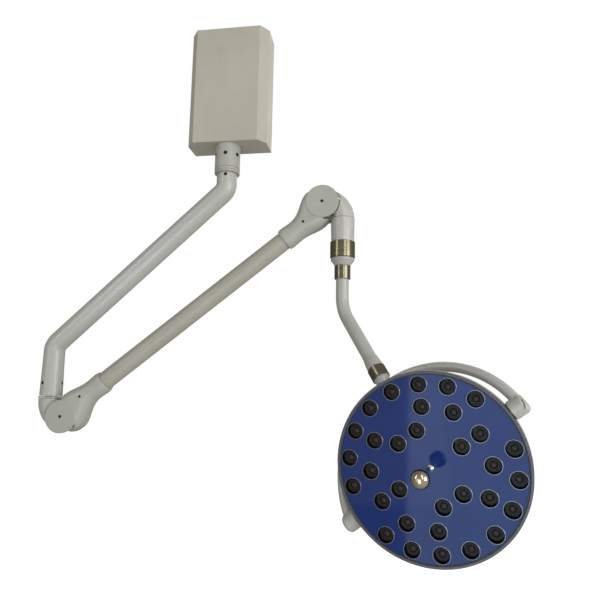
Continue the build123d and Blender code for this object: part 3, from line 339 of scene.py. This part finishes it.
LOOKS = [
    (painted("box_paint", WARM_PAINT, 0.5, 0.16), ["housing_cover"]),
    # Painted shade: the spring arm takes a darker copy of the box paint, set to how dark it stands in its
    # light.
    (painted("spring_arm_shaded_paint", scaled(WARM_PAINT, 0.83), 0.4, 0.1, 0.88), ["arm_tube"]),
    (
        # Painted shade: the arm parts take the white paint dimmed a little, set to how bright the crank
        # stands in its light.
        painted("arm_paint", scaled(WHITE_PAINT, 0.98), 0.28, 0.08),
        ["crank_tube", "end_ring", "lower_knuckle", "upper_knuckle", "end_tube"],
    ),
    (
        # Painted shade: the drop parts take a darker copy of the white paint, set to how dark they stand in
        # their light.
        painted("drop_shaded_paint", scaled(WHITE_PAINT, 0.9), 0.28, 0.08),
        ["cone_adapter", "bent_tube", "lower_socket"],
    ),
    (painted("yoke_paint", WHITE_PAINT, 0.32, 0.08), ["yoke_tube", "pivot_blocks"]),
    # Painted shade: the head's housing takes a darker copy of the white paint, set to how dark it stands in
    # its light.
    (painted("head_shaded_paint", scaled(WHITE_PAINT, 0.85), 0.34, 0.1), ["head_housing"]),
    (painted("rim_coat", (0.05, 0.05, 0.056), 0.34, 0.05), ["bezel_ring"]),
    # Painted shade: the pivot collar and its trim ring take the darker cover paint for the shadow that the
    # box casts on them; the covers wear it as their own colour.
    (
        painted("cover_paint_and_collar_shade", GREY_PAINT, 0.46, 0.06),
        [
            "pivot_collar",
            "trim_ring",
            "lower_cover_front",
            "lower_cover_rear",
            "upper_cover_front",
            "upper_cover_rear",
        ],
    ),
    (turned_bronze("ring_upright"), ["locking_sleeve", "drop_sleeve"]),
    (turned_bronze("ring_leaning", hanger_turn), ["yoke_sleeve"]),
    (machined("washer_dark", (0.09, 0.085, 0.07), 0.4), ["friction_washers"]),
    (
        brushed("bush_bronze", BUSH, 0.34),
        ["collar_bushes", "base_bushes", "lower_pin_bushes", "upper_pin_bushes", "end_tube_bushes"],
    ),
    (
        machined("bare_steel", STEEL),
        [
            "wall_plate",
            "pivot_bracket",
            "crank_spindle",
            "spindle_retainer",
            "bearing_housing",
            "lower_clevis",
            "upper_clevis",
            "hinge_pins",
            "spring_rod",
            "balance_spring",
            "retaining_segment",
            "base_clip",
            "pivot_studs",
            "bracket_bolts",
            "flange_bolts",
        ],
    ),
    (machined("small_screws", (0.34, 0.34, 0.33), 0.3), ["cover_screws", "housing_screws"]),
    (black_oxide("dark_screws"), ["brake_screws", "crank_screws", "arm_cover_screws"]),
    (machined("supply_case", (0.55, 0.56, 0.56)), ["power_supply"]),
    (machined("sink_metal", (0.6, 0.61, 0.62)), ["heat_sink"]),
    (rubber("seal_rubber"), ["panel_seal", "cable_grommet"]),
    (blue_panel("panel_blue"), ["front_panel"]),
    (polished("cup_chrome", (0.10, 0.108, 0.125), 0.2, 0.12), ["lens_cups"]),
    (circuit_board("board_mask"), ["led_board"]),
    (polished("stem_chrome", (0.66, 0.66, 0.67)), ["handle_stem"]),
    (polished("ball_nickel", (0.53, 0.485, 0.4), 0.06, 0.1, (0.36, 0.275, 0.165)), ["handle_ball"]),
]


def give_material(piece, material):
    piece.data.materials.clear()
    piece.data.materials.append(material)


for material, names in LOOKS:
    for name in names:
        give_material(NODES[name], material)


# ---------------------------------------------------------------- lenses
# Sizes are in millimetres, and heights are over the head's centre plane.
MILLI = 0.001
# Each ring's radius, and the angles from the tilt axis, in degrees, at which it has a lens.
RINGS = (
    (194.4, [20 * k for k in range(18) if k not in (0, 9)]),
    (142.2, [30 * k for k in range(12) if k not in (3, 9)]),
    (90.3, [0, 72, 108, 180, 252, 288]),
)
LENS_STEPS = 40
RIM_RADIUS = 16.7
RIM_FOOT = 10.2
RIM_TOP = 13.3
RIDGE_COUNT = 3
RIDGE_PITCH = 2.6
RIDGE_RISE = 0.65
# A ridge's corners: how far in from where it starts, and how high over its groove.
RIDGE_CORNERS = ((0.6, 0.75), (1.4, 0.75), (2.0, 0.0), (2.6, 0.0))
GROOVE_LEVEL = 13.2
DOME_RADIUS = 8.3
DOME_FOOT = 14.9
DOME_HEIGHT = 2.8
DOME_STEPS = 6
DOME_SWEEP = math.radians(84)


def lens_profile():
    """Radius and height of each point of the outline: ridges that step up to a domed middle."""
    points = [(RIM_RADIUS, RIM_FOOT), (RIM_RADIUS, RIM_TOP)]
    for ridge in range(RIDGE_COUNT):
        outer = RIM_RADIUS - ridge * RIDGE_PITCH
        groove = GROOVE_LEVEL + ridge * RIDGE_RISE
        points += [(outer - inward, groove + rise) for inward, rise in RIDGE_CORNERS]
    for step in range(DOME_STEPS + 1):
        angle = DOME_SWEEP * step / DOME_STEPS
        points.append((DOME_RADIUS * math.cos(angle), DOME_FOOT + DOME_HEIGHT * math.sin(angle)))
    return points


def spun(mesh, place, profile, steps):
    """Adds a solid of revolution about place's z axis."""
    rows = []
    for radius, height in profile:
        row = []
        for step in range(steps):
            angle = 2 * math.pi * step / steps
            point = Vector((radius * math.cos(angle), radius * math.sin(angle), height)) * MILLI
            row.append(mesh.verts.new(place @ point))
        rows.append(row)
    for low, high in zip(rows, rows[1:]):
        for step in range(steps):
            after = (step + 1) % steps
            mesh.faces.new((low[step], low[after], high[after], high[step]))
    mesh.faces.new(rows[-1])
    mesh.faces.new(rows[0][::-1])


SMOOTH_ANGLE = math.radians(40)


def piece_from(mesh, name, material, body):
    """Makes a mesh into a named piece that rides on a body."""
    data = bpy.data.meshes.new(name)
    bmesh.ops.recalc_face_normals(mesh, faces=mesh.faces)
    mesh.to_mesh(data)
    mesh.free()
    piece = bpy.data.objects.new(name, data)
    bpy.context.scene.collection.objects.link(piece)
    data.materials.append(material)
    data.shade_smooth()
    data.set_sharp_from_angle(angle=SMOOTH_ANGLE)
    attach(piece, body)
    return piece


lens_mesh = bmesh.new()
for ring_radius, angles in RINGS:
    for angle in angles:
        turn = math.radians(angle)
        outward = math.cos(turn) * tilt_axis + math.sin(turn) * side_axis
        centre = head_centre + ring_radius * MILLI * outward
        spun(lens_mesh, frame_matrix(centre, tilt_axis, light_axis), lens_profile(), LENS_STEPS)
lenses = piece_from(lens_mesh, "ringed_lenses", lens_glass("lens_dark"), "lamp_head")
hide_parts("led_lenses")


# ---------------------------------------------------------------- floor, lights and world
# Below the lowest point that the head reaches with the spring arm right down.
FLOOR_LEVEL = -2.8
FLOOR_SIZE = 40
FLOOR_GLOW = 0.75


def pale_floor():
    mesh = bmesh.new()
    bmesh.ops.create_grid(mesh, x_segments=1, y_segments=1, size=FLOOR_SIZE)
    data = bpy.data.meshes.new("floor")
    mesh.to_mesh(data)
    mesh.free()
    floor = bpy.data.objects.new("floor", data)
    floor.location = (0, 0, FLOOR_LEVEL)
    bpy.context.scene.collection.objects.link(floor)
    # The floor shows to the camera alone, so that only the world and the lights shade the object.
    floor.visible_diffuse = False
    floor.visible_glossy = False
    m = Nodes("floor_pale")
    pale = m.ramp(m.noise(0.8, 3.0), [(0.3, (0.93, 0.93, 0.925)), (0.7, (0.95, 0.95, 0.945))])
    m.color(pale)
    m.roughness(m.spread(m.noise(6.0, 2.0), 0.85, 0.95))
    m.link(pale, m.shader.inputs["Emission Color"])
    m.set(Emission_Strength=FLOOR_GLOW)
    data.materials.append(m.material)


def area_light(name, place, target, size, power, color=(1, 1, 1)):
    """Size in metres, power in watts."""
    data = bpy.data.lights.new(name, "AREA")
    data.shape = "RECTANGLE"
    data.size, data.size_y = size
    data.energy = power
    data.color = color
    light = bpy.data.objects.new(name, data)
    light.location = place
    light.rotation_euler = (Vector(target) - Vector(place)).to_track_quat("-Z", "Y").to_euler()
    light.visible_camera = False
    bpy.context.scene.collection.objects.link(light)
    return light


def glossy_card(name, place, target, size, power, color):
    """A soft card that only shows in reflections."""
    card = area_light(name, place, target, size, power, color)
    card.visible_diffuse = False


pale_floor()
middle = Vector((0.0, -0.1, -0.6))
area_light("key", (3.3, -1.9, -0.5), middle, (1.8, 1.8), 62, (1.0, 0.985, 0.955))
area_light("fill", (-1.6, -3.2, -1.4), middle, (2.0, 2.0), 8, (0.97, 0.985, 1.0))
area_light("back", (0.4, 2.6, 1.4), middle, (2.4, 1.6), 18)
# The card low in front of the panel lightens the glass's right part, and the strips stripe the bright metal.
glossy_card("panel_card", (0.25, -1.95, -1.62), head_centre, (0.9, 1.4), 15, (0.6, 0.78, 1.0))
glossy_card("strip_right", (1.35, -2.0, 0.25), (0.4, 0, -0.3), (0.22, 1.9), 14, (1.0, 0.98, 0.95))
glossy_card("strip_left", (-1.5, -1.7, 0.2), (0.2, 0, -0.4), (0.3, 1.9), 12, (0.97, 0.985, 1.0))


BRIGHT_SIDE = Vector((0.5, -0.86, -0.12)).normalized()
ROOM_TONES = [
    (0.0, (0.22, 0.21, 0.19)),
    (0.3, (0.34, 0.33, 0.31)),
    (0.55, (0.52, 0.515, 0.50)),
    (1.0, (0.80, 0.80, 0.79)),
]


def studio_world():
    """White to the camera; to everything else a room that is bright in front and to the right."""
    world = bpy.data.worlds.new("studio")
    bpy.context.scene.world = world
    world.use_nodes = True
    tree = world.node_tree
    sky = tree.nodes["Background"]
    facing = tree.nodes.new("ShaderNodeVectorMath")
    facing.operation = "DOT_PRODUCT"
    facing.inputs[1].default_value = BRIGHT_SIDE
    tree.links.new(tree.nodes.new("ShaderNodeTexCoord").outputs["Generated"], facing.inputs[0])
    level = tree.nodes.new("ShaderNodeMapRange")
    level.inputs["From Min"].default_value = -1.0
    tree.links.new(facing.outputs["Value"], level.inputs["Value"])
    room = tree.nodes.new("ShaderNodeValToRGB")
    set_stops(room.color_ramp, ROOM_TONES)
    tree.links.new(level.outputs["Result"], room.inputs["Fac"])
    white = tree.nodes.new("ShaderNodeMix")
    white.data_type = "RGBA"
    white.inputs[MIX_SECOND].default_value = (1.0, 1.0, 1.0, 1)
    path = tree.nodes.new("ShaderNodeLightPath")
    tree.links.new(path.outputs["Is Camera Ray"], white.inputs[MIX_FACTOR])
    tree.links.new(room.outputs["Color"], white.inputs[MIX_FIRST])
    tree.links.new(white.outputs[MIX_RESULT], sky.inputs["Color"])
    sky.inputs["Strength"].default_value = 1.0


studio_world()
bpy.context.scene.view_settings.view_transform = "Standard"
bpy.context.scene.view_settings.look = "None"
